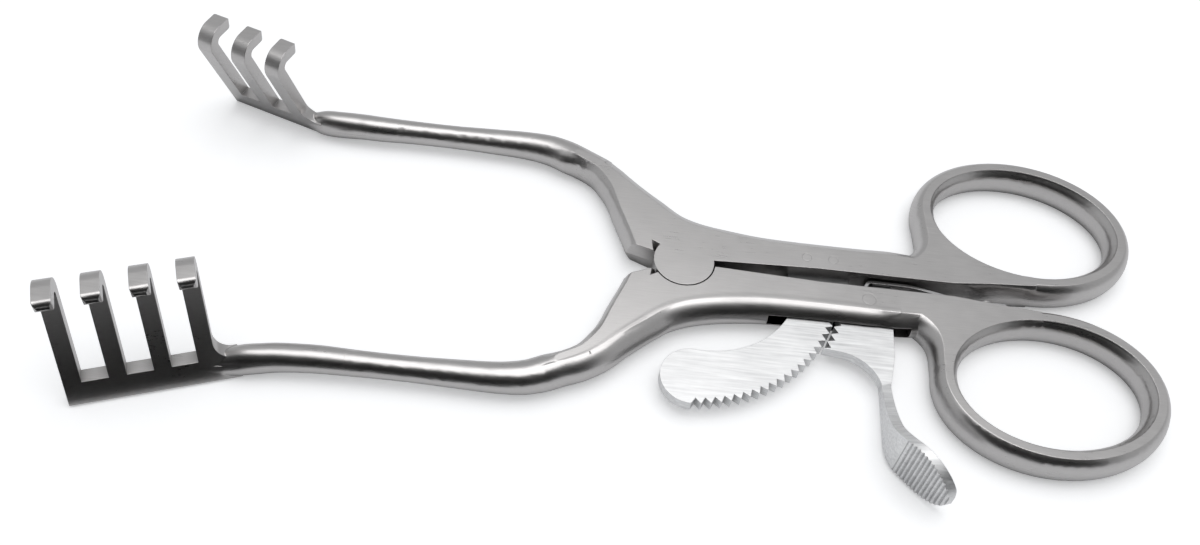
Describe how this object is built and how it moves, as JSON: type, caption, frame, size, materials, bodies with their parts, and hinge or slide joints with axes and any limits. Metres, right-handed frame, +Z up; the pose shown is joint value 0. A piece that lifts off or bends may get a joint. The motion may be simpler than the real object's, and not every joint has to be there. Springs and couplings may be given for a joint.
{
  "type": "self retaining retractor",
  "caption": "Surgical self retaining retractor: two hinged arms with finger rings and hooked prongs, held open by a curved ratchet and a sprung release lever.",
  "frame": {"origin": "on the axis of the arms' joint, in the joint's flat top face", "axes": "+X along the centre line from the joint to the finger rings, the blades lie at -X; +Y towards the arm with three prongs; +Z up, the way the prongs point"},
  "size_m": [0.1681, 0.0702, 0.021],
  "materials": {
    "satin_steel": "satin-ground stainless steel",
    "ground_plate": "bright ground stainless plate with diagonal grain",
    "spring_steel": "polished spring strip"
  },
  "bodies": {
    "near_side": {"near_arm": "satin_steel", "lever_pin": "satin_steel", "leaf_spring": "spring_steel", "spring_screw": "satin_steel"},
    "far_side": {"far_arm": "satin_steel", "joint_screw": "satin_steel", "ratchet_bar": "ground_plate", "ratchet_rivet_1": "satin_steel", "ratchet_rivet_2": "satin_steel"},
    "lever": {"release_lever": "ground_plate"}
  },
  "joints": [
    {"name": "arm_hinge", "type": "hinge", "parent": "near_side", "child": "far_side", "pos_m": [0, 0, 0], "axis": [0, 0, 1], "range_deg": [0, 38.4]},
    {"name": "lever_hinge", "type": "hinge", "parent": "near_side", "child": "lever", "pos_m": [0.03, -0.00385, -0.0029], "axis": [0, 0, 1], "range_deg": [0, 8], "stiffness_Nm_per_rad": 0.05, "springref_deg": -14.32, "deforming": ["leaf_spring"]}
  ]
}
